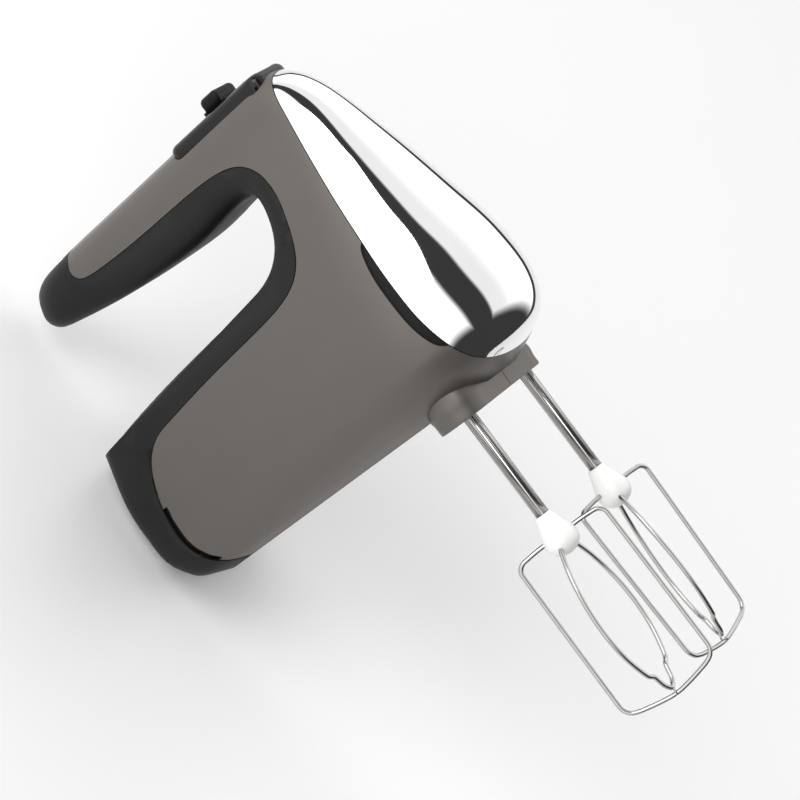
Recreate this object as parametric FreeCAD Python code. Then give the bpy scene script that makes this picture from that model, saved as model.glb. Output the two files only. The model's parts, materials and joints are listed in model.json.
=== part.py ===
"""Hand mixer: a clamshell body with a motor, a two-wheel worm drive and two wire beaters.

Frame, in millimetres: the mixer stands on its flat heel. +Z runs from the heel to the nose,
+X is the way the beaters point, and +Y is the mixer's left side. The origin is the middle
of the heel flat.
"""
import FreeCAD, Part
import math
import os

Vec = FreeCAD.Vector
AXIS_X = Vec(1, 0, 0)
AXIS_Y = Vec(0, 1, 0)
AXIS_Z = Vec(0, 0, 1)

# ---- driving dimensions -------------------------------------------------------------------
WALL = 2.4                # moulded wall of every shell
SEAM = 0.35               # open line between two mouldings
TOP_X = -119.0            # top of the handle
BELLY_X = 34.3            # flat underside of the motor housing
COLLAR_X = 41.5           # lower face of the beater collar
COLLAR_Z = 180.0          # middle of the collar
COLLAR_HALF_Y = 32.5
COLLAR_HALF_Z = 12.5
COLLAR_WALL = 1.8
RIM_TOP_Z = 194.0         # the plane that the nose cover meets, at the panel's height
RIM_TOP_X = -113.4
RIM_SLOPE = 0.095         # how much the plane leans forward per millimetre down
HEEL_CAP_Z = 4.6          # depth of the end plate that carries the heel
RIM_ROLL = 8.0            # radius that the finger opening's edges are rolled to
OPENING_WALL = 7.0        # wall behind the opening, thick enough to hold the rolled edge

MOTOR_X = -3.0            # motor axis
SHAFT_R = 3.0
MODULE = 1.15
WHEEL_TEETH = 24
WORM_STARTS = 2
BEATER_Z = 184.0
BEATER_PITCH = 46.5       # distance between the two beaters
WHEEL_R = MODULE * WHEEL_TEETH / 2
BEATER_Y = BEATER_PITCH / 2
WORM_R = BEATER_Y - WHEEL_R
WORM_LEAD = math.pi * MODULE * WORM_STARTS
FACE_WIDTH = 12.0
BACKLASH = 0.34
SPINDLE_R = 5.2
BEATER_SHAFT_R = 3.0
EAR_REACH = 4.4           # half the span of the ears that key a beater to its spindle
FIT = 0.05                # radial running clearance
GAP = 0.35                # clearance between faces that pass each other

WIRE_R = 1.0
HUB_X = 100.0             # level where the wires leave the hub
HUB_TOP_X = 89.5
HUB_R = 7.5
LOOP_END_X = 178.6
LOOP_TOP_R = 21.2
LOOP_R = 21.6
TWIST_PER_MM = 0.12
INNER_TURN = 60.0         # angle between the two loops of a beater

PANEL_TOP_X = -120.4
PANEL_HALF_Y = 12.0
PANEL_Z = (129.5, 190.5)
PADDLE_Z = (155.5, 166.0)
PADDLE_TOP_X = -127.4
SELECTOR_TRAVEL = 16.0
EJECT_Z = (170.5, 181.5)
EJECT_PROUD = 0.6         # how far the eject key stands above the panel
TURBO_Z = (183.5, 188.5)
TURBO_SUNK = 1.0          # how far the turbo key lies below the panel
FRAME_PLATE_X = -104.0    # top face of the plate under the controls


# ---- small helpers ------------------------------------------------------------------------
def box(x, y, z):
    """Block between two limits on each axis."""
    size = [abs(limit[1] - limit[0]) for limit in (x, y, z)]
    return Part.makeBox(*size, Vec(min(x), min(y), min(z)))


def rod(radius, start, end):
    """Round bar between two points."""
    along = end - start
    return Part.makeCylinder(radius, along.Length, start, along)


def tube(outer, inner, start, end):
    """Round sleeve between two points."""
    extra = (end - start).normalize()
    return rod(outer, start, end).cut(rod(inner, start - extra, end + extra))


def fuse(shapes):
    """One solid from several touching ones."""
    joined = shapes[0].fuse(shapes[1:]) if len(shapes) > 1 else shapes[0]
    return joined.removeSplitter()


def mirrored(shape):
    """The same piece on the other side of the mixer."""
    return shape.mirror(Vec(0, 0, 0), AXIS_Y)


def monotone(stations):
    """Smooth curve through a few (x, value) stations that never overshoots them."""
    xs = [s[0] for s in stations]
    ys = [s[1] for s in stations]
    last = len(xs) - 1
    steps = [xs[i + 1] - xs[i] for i in range(last)]
    slopes = [(ys[i + 1] - ys[i]) / steps[i] for i in range(last)]
    tangents = [slopes[0]]
    for i in range(1, last):
        before, after = slopes[i - 1], slopes[i]
        if before * after <= 0:
            tangents.append(0.0)
        else:
            w1 = 2 * steps[i] + steps[i - 1]
            w2 = steps[i] + 2 * steps[i - 1]
            tangents.append((w1 + w2) / (w1 / before + w2 / after))
    tangents.append(slopes[-1])

    def value(x):
        x = min(max(x, xs[0]), xs[-1])
        i = max(k for k in range(last) if x >= xs[k])
        t = (x - xs[i]) / steps[i]
        rise = (3 - 2 * t) * t * t
        start = (1 - t) ** 2 * t * steps[i] * tangents[i]
        end = (t - 1) * t * t * steps[i] * tangents[i + 1]
        return ys[i] + (ys[i + 1] - ys[i]) * rise + start + end
    return value


def side_curve(points):
    """Smooth open curve through (x, z) points in the middle plane."""
    curve = Part.BSplineCurve()
    curve.interpolate([Vec(x, 0, z) for x, z in points])
    return curve.toShape()


def side_region(curve_points, closing_points, half_width=70.0):
    """Solid that is bounded in side view by a smooth curve and straight closing lines."""
    curve = side_curve(curve_points)
    corners = [curve_points[-1]] + closing_points + [curve_points[0]]
    lines = Part.makePolygon([Vec(x, 0, z) for x, z in corners])
    face = Part.Face(Part.Wire([curve] + lines.Edges))
    face.translate(Vec(0, -half_width, 0))
    return face.extrude(Vec(0, 2 * half_width, 0))


def offset_points(points, distance):
    """The (x, z) points moved sideways from their own line of travel."""
    moved = []
    for i, (x, z) in enumerate(points):
        x0, z0 = points[max(i - 1, 0)]
        x1, z1 = points[min(i + 1, len(points) - 1)]
        length = math.hypot(x1 - x0, z1 - z0)
        moved.append((x + distance * (z1 - z0) / length, z - distance * (x1 - x0) / length))
    return moved


# ---- outer form ---------------------------------------------------------------------------
REAR_END = monotone([(-119, 36), (-117, 19), (-112, 12.5), (-104, 10), (-80, 8), (-40, 4.5),
                     (-24, 1), (-8, -1.2), (10, -1.2), (22, 3), (30, 10), (34.3, 20)])
FRONT_END = monotone([(-119, 186), (-116, 193), (-112, 198), (-100, 205.5), (-76, 212.5),
                      (-40, 221), (-14, 226.5), (4, 227.5), (14, 226), (22, 222), (27, 215.5),
                      (31, 206), (34.3, 197)])
REAR_HALF_WIDTH = monotone([(-119, 4), (-117, 9), (-112, 12.8), (-104, 14.6), (-92, 15),
                            (-70, 24), (-45, 33), (-20, 38), (0, 40), (14, 40), (24, 38.5),
                            (31, 34), (34.3, 29)])
FRONT_HALF_WIDTH = monotone([(-119, 6), (-117, 10), (-112, 13.5), (-100, 17), (-76, 26),
                             (-50, 35), (-20, 43), (0, 46), (12, 45.5), (22, 42), (30, 34),
                             (34.3, 27)])
SHOULDER = monotone([(-119, 178), (-112, 182), (-100, 187), (-76, 185), (-40, 180), (0, 174),
                     (20, 164), (34.3, 156)])
REAR_ROUND = monotone([(-119, 30), (-112, 24), (-100, 20), (24, 20), (34.3, 22)])
SLICE_LEVELS = [-119, -118.2, -117, -115, -112, -107, -100, -90, -78, -64, -50, -36, -22, -8,
                4, 14, 21, 26, 30, 33, 34.3]

# side view: the finger opening, from the handle's tail round to the top of the heel
OPENING = [(-95, 18), (-91, 38), (-87, 62), (-83.8, 92), (-82.6, 118), (-84, 138),
           (-83.2, 152.5), (-79, 160.3), (-70, 162.2), (-61, 160), (-54, 152.5), (-50, 138),
           (-47.6, 110), (-45, 70), (-42.4, 44), (-38.5, 20)]
OPENING_CLOSE = [(-34, -30), (-106, -30)]
# side view: the line between the side shell and the dark core, from the handle's top
PARTING = [(-113.8, 48), (-109.6, 47.6), (-106, 50), (-103.6, 57), (-102.4, 70), (-101.4, 91),
           (-101, 112), (-100.5, 134), (-99, 150), (-95, 162.5), (-87, 171.2), (-76, 175.3),
           (-64, 175), (-53, 172.4), (-45.5, 167), (-40.5, 156.5), (-38, 140), (-36.2, 114),
           (-33.8, 84), (-31.6, 63), (-29.6, 52), (-25.4, 44.5), (-20, 39.6), (-12, 35.4),
           (-3, 32.5), (7, 30.7), (15, 31.1), (22, 33.9), (29, 39.5), (33.5, 47.5)]
PARTING_CLOSE = [(45, 62), (60, 62), (60, 260), (-140, 260), (-140, 48)]


def slice_half(x, inset):
    """Right half of one level slice, as (z, y) from the rear end to the front end."""
    rear = REAR_END(x) + inset
    front = FRONT_END(x) - inset
    narrow = REAR_HALF_WIDTH(x) - inset
    wide = FRONT_HALF_WIDTH(x) - inset
    rounding = REAR_ROUND(x)
    shoulder = SHOULDER(x)
    quarter = [math.radians(15 * k) for k in range(7)]
    tail = [(rear + rounding * (1 - math.cos(a)), narrow * math.sin(a)) for a in quarter]
    flank = []
    for k in range(1, 6):
        t = k / 6
        widening = t * t * (3 - 2 * t)
        z = rear + rounding + (shoulder - rear - rounding) * t
        flank.append((z, narrow + (wide - narrow) * widening))
    nose = [(shoulder + (front - shoulder) * math.sin(a), wide * math.cos(a)) for a in quarter]
    return tail + flank + nose


def level_slice(x, inset):
    """Closed outline of the body at one height."""
    half = slice_half(x, inset)
    loop = [Vec(x, y, z) for z, y in half] + [Vec(x, -y, z) for z, y in half[-2:0:-1]]
    curve = Part.BSplineCurve()
    curve.interpolate(Points=loop, PeriodicFlag=True)
    return Part.Wire(curve.toShape())


def envelope(inset=0.0):
    """Solid of the whole outer form, or of the same form with its skin taken off."""
    low = TOP_X + inset
    scale = (BELLY_X - TOP_X - 2 * inset) / (BELLY_X - TOP_X)
    slices = [level_slice(low + (x - TOP_X) * scale, inset) for x in SLICE_LEVELS]
    form = Part.makeLoft(slices, True, False)
    heel = max(inset, 0.0)
    return form.common(box((-200, 200), (-100, 100), (heel, 400)))


def opening_cutter(margin):
    """Tool that cuts the finger opening; a positive margin makes it larger."""
    return side_region(offset_points(OPENING, -margin), OPENING_CLOSE)


def rounded_body():
    """Outer form with the finger opening cut and its edges rolled over."""
    body = envelope().cut(opening_cutter(0.0))
    rims = []
    for edge in body.Edges:
        bounds = edge.BoundBox
        if edge.Length > 250 and bounds.YLength < 40 and bounds.XMin > -100:
            rims.append(edge)
    return body.makeFillet(RIM_ROLL, rims)


def collar_outline(x, half_y, half_z):
    """Outline around the collar's axis: two straight sides and two round ends."""
    flat = half_y - half_z
    corners = [Vec(x, -flat, COLLAR_Z + half_z), Vec(x, flat, COLLAR_Z + half_z),
               Vec(x, flat, COLLAR_Z - half_z), Vec(x, -flat, COLLAR_Z - half_z)]
    ends = [Vec(x, half_y, COLLAR_Z), Vec(x, -half_y, COLLAR_Z)]
    edges = [Part.LineSegment(corners[0], corners[1]).toShape(),
             Part.Arc(corners[1], ends[0], corners[2]).toShape(),
             Part.LineSegment(corners[2], corners[3]).toShape(),
             Part.Arc(corners[3], ends[1], corners[0]).toShape()]
    return Part.Wire(edges)


def collar(inset):
    """Oval neck that the beaters come out of, spreading a little into the underside."""
    wires = []
    for x, grow in ((BELLY_X - 8, 3.0), (BELLY_X - 2, 2.0), (BELLY_X + 1.2, 0.6),
                    (BELLY_X + 3, 0.2), (COLLAR_X - inset, 0.0)):
        wires.append(collar_outline(x, COLLAR_HALF_Y - inset + grow, COLLAR_HALF_Z - inset + grow))
    return Part.makeLoft(wires, True, False)


def collar_disc(x0, x1, rim):
    """Oval slab inside the collar's mouth, a given margin in from the collar's outside."""
    face = Part.Face(collar_outline(x0, COLLAR_HALF_Y - rim, COLLAR_HALF_Z - rim))
    return face.extrude(Vec(x1 - x0, 0, 0))


def rim_z(x):
    """Where the nose cover meets the shells at one height."""
    return RIM_TOP_Z + RIM_SLOPE * (x - RIM_TOP_X)


def nose_zone(shift=0.0, depth=60.0):
    """Everything in front of the rim plane."""
    corners = [(-140, rim_z(-140) + shift), (60, rim_z(60) + shift),
               (60, rim_z(60) + depth), (-140, rim_z(-140) + depth)]
    face = Part.Face(Part.makePolygon([Vec(x, -70, z) for x, z in corners + corners[:1]]))
    return face.extrude(Vec(0, 140, 0))


# ---- casings ------------------------------------------------------------------------------
def panel_form(grow=0.0):
    """Raised strip on top of the handle's front that carries the controls."""
    low, high = PANEL_Z[0] - grow, PANEL_Z[1] + grow
    half = PANEL_HALF_Y + grow
    form = box((PANEL_TOP_X - grow, -113.6 + grow), (-half, half), (low, high))
    edges = [e for e in form.Edges if e.BoundBox.XLength > 5]
    form = form.makeFillet(6.0, edges)
    top = [e for e in form.Edges if e.BoundBox.XMax < PANEL_TOP_X - grow + 0.01]
    return form.makeFillet(3.2, top)


def front_vent_zone():
    """Slot beside the nose cover, in the lower part of the rim."""
    back = [(-40, rim_z(-40) + 4), (-38.5, rim_z(-38.5) - 0.8), (-34, rim_z(-34) - 2.7),
            (-10, rim_z(-10) - 4.2), (6, rim_z(6) - 3.8), (13, rim_z(13) - 1.6),
            (15.5, rim_z(15.5) + 4)]
    return side_region(back, [(15.5, 240), (-40, 240)])


def rear_vent_zone():
    """Slot along the parting line at the back of the motor housing."""
    run = [(-4, 32.7), (7, 30.7), (15, 31.1), (22, 33.9), (28, 38.6)]
    outer = offset_points(run, -3.2)
    return side_region(run, outer[::-1])


def shells():
    """Side shells, dark core shells, nose cover, heel plate and vent strips."""
    outer = rounded_body().fuse(collar(0.0))
    inner = envelope(WALL).cut(opening_cutter(OPENING_WALL))
    inner = inner.fuse(collar(COLLAR_WALL)).fuse(collar_disc(COLLAR_X - 4, COLLAR_X + 1, COLLAR_WALL))
    skin = outer.cut(inner)
    side_zone = side_region(PARTING, PARTING_CLOSE)
    core_zone = side_region(offset_points(PARTING, SEAM), PARTING_CLOSE)
    left_half = box((-200, 200), (SEAM / 2, 100), (-50, 400))
    vents = front_vent_zone().fuse(rear_vent_zone())

    side = skin.common(side_zone).cut(nose_zone(-SEAM))
    side = side.cut(panel_form(0.25)).cut(vents)
    core = skin.cut(core_zone).cut(box((-200, 200), (-100, 100), (-50, HEEL_CAP_Z + 1.2)))
    nose = skin.common(nose_zone())
    heel = outer.common(box((-80, 80), (-80, 80), (0, HEEL_CAP_Z)))
    heel = heel.cut(envelope(WALL).common(box((-80, 80), (-80, 80), (3.0, 60))))
    trim = outer.common(box((-80, 80), (-80, 80), (HEEL_CAP_Z, HEEL_CAP_Z + 1.0)))
    trim = trim.cut(envelope(3.4))
    backing = envelope(WALL + 0.2).cut(envelope(WALL + 1.3)).common(vents)
    return {
        "side_shell_left": biggest(side.common(left_half)),
        "core_shell_left": biggest(core.common(left_half)),
        "front_cover": biggest(nose),
        "heel_cap": biggest(heel),
        "heel_trim": biggest(trim),
        "vent_skin": backing.common(left_half),
    }


def biggest(shape):
    """The main solid of a cut, without any crumbs."""
    return max(shape.Solids, key=lambda solid: solid.Volume)


# ---- gearbox and spindles -----------------------------------------------------------------
def gear_outline(x, turn):
    """Closed outline of one worm wheel tooth ring at one height."""
    pitch = 2 * math.pi / WHEEL_TEETH
    thick = (math.pi * MODULE / 2 - BACKLASH) / WHEEL_R / 2
    corners = []
    for tooth in range(WHEEL_TEETH):
        middle = tooth * pitch + turn
        for side, radius, share in ((-1, WHEEL_R - 1.2 * MODULE, 1.55), (-1, WHEEL_R + MODULE, 0.5),
                                    (1, WHEEL_R + MODULE, 0.5), (1, WHEEL_R - 1.2 * MODULE, 1.55)):
            angle = middle + side * share * thick
            corners.append(Vec(x, radius * math.cos(angle), radius * math.sin(angle)))
    return Part.makePolygon(corners + corners[:1])


def worm_wheel():
    """Helical wheel on the X axis, centred at X = 0, with one tooth along +Y."""
    lead_angle = math.atan(WORM_LEAD / (2 * math.pi * WORM_R))
    turn = math.tan(lead_angle) * FACE_WIDTH / 2 / WHEEL_R
    rings = [gear_outline(side * FACE_WIDTH / 2, side * turn) for side in (-1, 1)]
    wheel = Part.makeLoft(rings, True, True)
    hub_hole = rod(SPINDLE_R + 0.02, Vec(-20, 0, 0), Vec(20, 0, 0))
    wheel = wheel.cut(hub_hole)
    for x in (-FACE_WIDTH / 2 - 1, FACE_WIDTH / 2 - 2.5):
        web = tube(WHEEL_R - 2.8, SPINDLE_R + 2.6, Vec(x, 0, 0), Vec(x + 3.5, 0, 0))
        wheel = wheel.cut(web)
    return wheel


def drive_gear(side):
    """Worm wheel in place on its spindle; side is +1 for left and -1 for right."""
    wheel = worm_wheel()
    if side > 0:
        wheel.rotate(Vec(0, 0, 0), AXIS_X, 180)
    wheel.translate(Vec(MOTOR_X, side * BEATER_Y, BEATER_Z))
    return wheel


def spindle(side):
    """Steel sleeve that turns a beater, with a slotted mouth for the beater's ears."""
    y = side * BEATER_Y
    sleeve = tube(SPINDLE_R, BEATER_SHAFT_R + FIT, Vec(-22, y, BEATER_Z), Vec(37.5, y, BEATER_Z))
    ear_slot = box((30.5, 38), (y - SPINDLE_R - 1, y + SPINDLE_R + 1), (BEATER_Z - 1, BEATER_Z + 1))
    return sleeve.cut(ear_slot.common(rod(EAR_REACH + 0.3, Vec(29, y, BEATER_Z), Vec(39, y, BEATER_Z))))


def worm():
    """Two-start right-hand worm on the motor shaft."""
    length = 22.0
    root = WORM_R - 1.25 * MODULE
    start = BEATER_Z - length / 2
    body = rod(root, Vec(MOTOR_X, 0, start - 3), Vec(MOTOR_X, 0, start + length + 3))
    half_root = (math.pi * MODULE / 2 - BACKLASH) / 2 + 0.42
    half_tip = half_root - 0.84
    helix = Part.makeHelix(WORM_LEAD, length, WORM_R)
    first = None
    for k in range(WORM_STARTS):
        tooth = [Vec(root - 0.25, 0, -half_root), Vec(WORM_R + MODULE, 0, -half_tip),
                 Vec(WORM_R + MODULE, 0, half_tip), Vec(root - 0.25, 0, half_root)]
        sweep = Part.BRepOffsetAPI.MakePipeShell(Part.Wire(helix.Edges))
        sweep.setFrenetMode(True)
        sweep.add(Part.makePolygon(tooth + tooth[:1]))
        sweep.build()
        sweep.makeSolid()
        thread = Part.Solid(sweep.shape())
        if thread.Volume < 0:
            thread.reverse()
        turns_back = (length / 2) / WORM_LEAD * 360
        thread.rotate(Vec(0, 0, 0), AXIS_Z, -turns_back + 360 * k / WORM_STARTS)
        thread.translate(Vec(MOTOR_X, 0, start))
        first = thread if first is None else first.fuse(thread)
    body = body.fuse(first)
    return body.cut(rod(SHAFT_R + 0.01, Vec(MOTOR_X, 0, start - 9), Vec(MOTOR_X, 0, 260)))


FRAME_X = (-21.0, 18.0)
FRAME_WALL_Z = (148.0, 152.0)
FRAME_END_Z = 200.0


def gearbox_frame():
    """Cast frame that holds the worm, the two wheels and the front motor bearing."""
    wall = box(FRAME_X, (-33, 33), FRAME_WALL_Z)
    plates = []
    for x in ((FRAME_X[0], FRAME_X[0] + 3.5), (FRAME_X[1] - 3.5, FRAME_X[1])):
        plate = box(x, (-33, 33), (FRAME_WALL_Z[0], FRAME_END_Z))
        corners = [e for e in plate.Edges if e.BoundBox.XLength > 3 and e.BoundBox.ZMin > 180]
        plates.append(plate.makeFillet(9.0, corners))
    seat = rod(9.0, Vec(MOTOR_X, 0, 146), Vec(MOTOR_X, 0, 156))
    frame = fuse([wall, seat] + plates)
    frame = frame.cut(rod(6.5, Vec(MOTOR_X, 0, 140), Vec(MOTOR_X, 0, 160)))
    for side in (-1, 1):
        y = side * BEATER_Y
        frame = frame.cut(rod(8.0, Vec(-40, y, BEATER_Z), Vec(40, y, BEATER_Z)))
        for x in (FRAME_X[0] + 1.75, FRAME_X[1] - 1.75):
            frame = frame.cut(rod(1.3, Vec(x, side * 12, 190), Vec(x, side * 12, 230)))
    return frame


def gearbox_cover():
    """Front plate of the gearbox with the seat of the worm's end bearing."""
    plate = box(FRAME_X, (-24, 24), (FRAME_END_Z, FRAME_END_Z + 2.5))
    plate = fuse([plate, rod(7.0, Vec(MOTOR_X, 0, 198), Vec(MOTOR_X, 0, 207))])
    plate = plate.cut(rod(4.0, Vec(MOTOR_X, 0, 190), Vec(MOTOR_X, 0, 205.6)))
    for side in (-1, 1):
        for x in (FRAME_X[0] + 1.75, FRAME_X[1] - 1.75):
            plate = plate.cut(rod(1.5, Vec(x, side * 12, 190), Vec(x, side * 12, 230)))
    return plate


def spindle_bushes():
    """Four bronze sleeves in the frame's plates."""
    bushes = []
    for side in (-1, 1):
        y = side * BEATER_Y
        for x in (FRAME_X[0] - 1, FRAME_X[1] - 4.5):
            bushes.append(tube(7.98, SPINDLE_R + FIT, Vec(x, y, BEATER_Z),
                               Vec(x + 5.5, y, BEATER_Z)))
    return bushes


def collar_plate():
    """Plate that closes the collar around the two spindle mouths."""
    plate = collar_disc(COLLAR_X - 3.5, COLLAR_X - 0.6, COLLAR_WALL + 0.15)
    for side in (-1, 1):
        y = side * BEATER_Y
        plate = plate.cut(rod(EAR_REACH + 0.5, Vec(30, y, BEATER_Z), Vec(60, y, BEATER_Z)))
    return plate


# ---- motor --------------------------------------------------------------------------------
STATOR_Z = (76.0, 120.0)
CORE_R = 18.0


def along_motor(radius, start, end):
    """Round bar on the motor axis."""
    return rod(radius, Vec(MOTOR_X, 0, start), Vec(MOTOR_X, 0, end))


def motor_shaft():
    """Stepped steel shaft from the rear bearing to the worm's end bearing."""
    return fuse([along_motor(SHAFT_R, 33, 199), along_motor(2.5, 29, 33), along_motor(2.5, 199, 205)])


def armature_core():
    """Laminated rotor stack with winding slots."""
    core = along_motor(CORE_R, *STATOR_Z).cut(along_motor(SHAFT_R + 0.01, 0, 200))
    slots = 12
    for k in range(slots):
        slot = box((CORE_R - 6.5, CORE_R + 1), (-1.0, 1.0), (70, 130))
        slot = slot.fuse(Part.makeCylinder(1.9, 60, Vec(CORE_R - 6.5, 0, 70)))
        slot.rotate(Vec(0, 0, 0), AXIS_Z, 360 * k / slots)
        slot.translate(Vec(MOTOR_X, 0, 0))
        core = core.cut(slot)
    return core


def armature_windings():
    """Bulging copper end turns at both ends of the rotor stack."""
    ends = []
    for start, end in ((STATOR_Z[0] - 9, STATOR_Z[0]), (STATOR_Z[1], STATOR_Z[1] + 7)):
        ring = along_motor(CORE_R - 2.2, start, end).cut(along_motor(SHAFT_R + 1.2, 0, 200))
        rims = [e for e in ring.Edges if e.Length > 80]
        ends.append(ring.makeFillet(2.6, rims))
    return ends


def commutator():
    """Segmented copper drum behind the rotor."""
    drum = along_motor(10.5, 46, 62).cut(along_motor(SHAFT_R + 0.01, 0, 200))
    riser = along_motor(12.5, 59.5, 62).cut(along_motor(10.4, 50, 70))
    drum = fuse([drum, riser])
    bars = 24
    for k in range(bars):
        groove = box((9.6, 14), (-0.2, 0.2), (40, 70))
        groove.rotate(Vec(0, 0, 0), AXIS_Z, 360 * (k + 0.5) / bars)
        groove.translate(Vec(MOTOR_X, 0, 0))
        drum = drum.cut(groove)
    return drum


def cooling_fan():
    """Radial fan between the rotor and the gearbox."""
    disc = along_motor(25.0, 132, 133.6)
    hub = along_motor(6.5, 131, 142)
    fan = [disc, hub]
    blades = 9
    for k in range(blades):
        blade = box((5.5, 24.5), (-0.7, 0.7), (133, 141))
        blade.rotate(Vec(12, 0, 0), AXIS_Z, 18)
        blade.rotate(Vec(0, 0, 0), AXIS_Z, 360 * k / blades)
        blade.translate(Vec(MOTOR_X, 0, 0))
        fan.append(blade)
    return fuse(fan).cut(along_motor(SHAFT_R + 0.01, 100, 160))


def stator_core():
    """Laminated field stack around the rotor."""
    stack = box((MOTOR_X - 25, MOTOR_X + 25), (-31, 31), STATOR_Z)
    corners = [e for e in stack.Edges if e.BoundBox.ZLength > 20]
    stack = stack.makeFillet(10.0, corners)
    stack = stack.cut(along_motor(CORE_R + 0.6, 60, 140))
    for side in (-1, 1):
        pocket = box((MOTOR_X + side * 12.5, MOTOR_X + side * 20), (-22, 22), (60, 140))
        stack = stack.cut(pocket.cut(along_motor(CORE_R + 3.0, 50, 150)))
    return stack


def field_coils():
    """One copper coil above and one below the rotor."""
    coils = []
    for side in (-1, 1):
        outer = box((MOTOR_X + side * 14.2, MOTOR_X + side * 19.6), (-21.6, 21.6),
                    (STATOR_Z[0] - 6, STATOR_Z[1] + 6))
        hole = box((MOTOR_X, MOTOR_X + side * 40), (-14, 14), (STATOR_Z[0] - 0.2, STATOR_Z[1] + 0.2))
        clear = along_motor(CORE_R + 3.2, STATOR_Z[0] - 1, STATOR_Z[1] + 1)
        clear = clear.fuse(along_motor(CORE_R - 1.4, 40, 160))
        keep_out = stator_core()
        coils.append(biggest(outer.cut(hole).cut(clear).cut(keep_out)))
    return coils


def motor_bearings():
    """Rear sleeve bearing, front ball race and the worm's end bush."""
    rear = tube(6.5, 2.5 + FIT, Vec(MOTOR_X, 0, 29.5), Vec(MOTOR_X, 0, 32.8))
    front = tube(6.48, SHAFT_R + FIT, Vec(MOTOR_X, 0, 147), Vec(MOTOR_X, 0, 153))
    end = tube(3.98, 2.5 + FIT, Vec(MOTOR_X, 0, 199.3), Vec(MOTOR_X, 0, 205.2))
    return {"rear_bearing": [rear], "front_bearing": [front], "worm_end_bush": [end]}


def motor_bracket():
    """Rear bracket: bearing seat, brush bridge and rails that grip the field stack."""
    bridge = box((MOTOR_X - 9, MOTOR_X + 9), (-29, 29), (28, 33))
    seat = along_motor(9.5, 26, 33)
    rails = []
    for side in (-1, 1):
        rails.append(box((MOTOR_X - 6, MOTOR_X + 6), (side * 31.2, side * 33.4), (28, 84)))
        rails.append(box((MOTOR_X - 9, MOTOR_X + 9), (side * 26, side * 33.4), (28, 33)))
    bracket = fuse([bridge, seat] + rails)
    return bracket.cut(along_motor(6.52, 29.4, 60)).cut(along_motor(3.2, 20, 60))


def brush_gear():
    """Holders, carbons and springs on both sides of the commutator."""
    holders, carbons, springs = [], [], []
    for side in (-1, 1):
        holder = box((MOTOR_X - 4.5, MOTOR_X + 4.5), (side * 13.5, side * 31.1), (49.5, 58.5))
        channel = box((MOTOR_X - 3.2, MOTOR_X + 3.2), (side * 10, side * 29.5), (50.8, 57.2))
        holders.append(holder.cut(channel))
        block = box((MOTOR_X - 3, MOTOR_X + 3), (side * 9.0, side * 22), (51, 57))
        carbons.append(block.cut(along_motor(10.5 + GAP, 40, 70)))
        coil = tube(2.6, 1.7, Vec(MOTOR_X, side * 22.0, 54), Vec(MOTOR_X, side * 29.5, 54))
        springs.append(coil)
    return {"brush_holders": holders, "carbon_brushes": carbons, "brush_springs": springs}


# ---- controls -----------------------------------------------------------------------------
STEM_Z = (172.5, 179.5)
FORK_X = (-31.0, -27.5)


def control_panel():
    """Glossy strip with the selector's slot and wells for the two buttons."""
    panel = panel_form()
    slot = box((-140, -100), (-3.0, 3.0), (PADDLE_Z[0] + 3 - SELECTOR_TRAVEL - GAP,
                                           PADDLE_Z[1] - 3 + GAP))
    eject_well = box((-140, -100), (-7.4, 7.4), (EJECT_Z[0] - GAP, EJECT_Z[1] + GAP))
    turbo_well = box((-140, -100), (-6.4, 6.4), (TURBO_Z[0] - GAP, TURBO_Z[1] + GAP))
    return panel.cut(slot).cut(eject_well).cut(turbo_well)


def speed_selector():
    """Paddle that the thumb slides, on a saddle with a stem through the slot."""
    paddle = box((PADDLE_TOP_X, PANEL_TOP_X - GAP - 0.8), (-7.5, 7.5), PADDLE_Z)
    edges = [e for e in paddle.Edges if e.BoundBox.XMin < PADDLE_TOP_X + 0.01]
    paddle = paddle.makeFillet(2.4, edges)
    saddle = box((PANEL_TOP_X - GAP - 1.6, PANEL_TOP_X - GAP), (-6.0, 6.0),
                 (PADDLE_Z[0] - 1.6, PADDLE_Z[1] + 1.8))
    stem = box((PANEL_TOP_X - 1, -110), (-2.6, 2.6), (PADDLE_Z[0] + 3, PADDLE_Z[1] - 3))
    return fuse([paddle, saddle, stem])


def contact_slider():
    """Sliding contact carrier under the panel, joined to the selector's stem."""
    return box((-110, -107), (-6, 6), (PADDLE_Z[0] + 1, PADDLE_Z[1] - 1))


def eject_button():
    """Raised key that pushes the beaters out."""
    key = box((PANEL_TOP_X - EJECT_PROUD, -108), (-7.0, 7.0), EJECT_Z)
    top = [e for e in key.Edges if e.BoundBox.XMax < PANEL_TOP_X - EJECT_PROUD + 0.1]
    return key.makeFillet(0.9, top)


def ejector_fork():
    """Stem and fork that carry the key's push to both beater shafts."""
    stem = box((-108, FORK_X[0]), (-2.5, 2.5), STEM_Z)
    bar = box(FORK_X, (-BEATER_Y - 4, BEATER_Y + 4), (BEATER_Z - 4, BEATER_Z + 4))
    link = box((FORK_X[0] - 6, FORK_X[1]), (-2.5, 2.5), (STEM_Z[0], BEATER_Z + 4))
    pins = [rod(2.6, Vec(FORK_X[0] + 1, side * BEATER_Y, BEATER_Z),
                Vec(BEATER_TOP_X - 0.3, side * BEATER_Y, BEATER_Z)) for side in (-1, 1)]
    return fuse([stem, bar, link] + pins)


def turbo_button():
    """Small key for the fastest speed, set a little below the panel."""
    key = box((PANEL_TOP_X + TURBO_SUNK, -109), (-6.0, 6.0), TURBO_Z)
    top = [e for e in key.Edges if e.BoundBox.XMax < PANEL_TOP_X + TURBO_SUNK + 0.1]
    return key.makeFillet(0.8, top)


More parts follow.
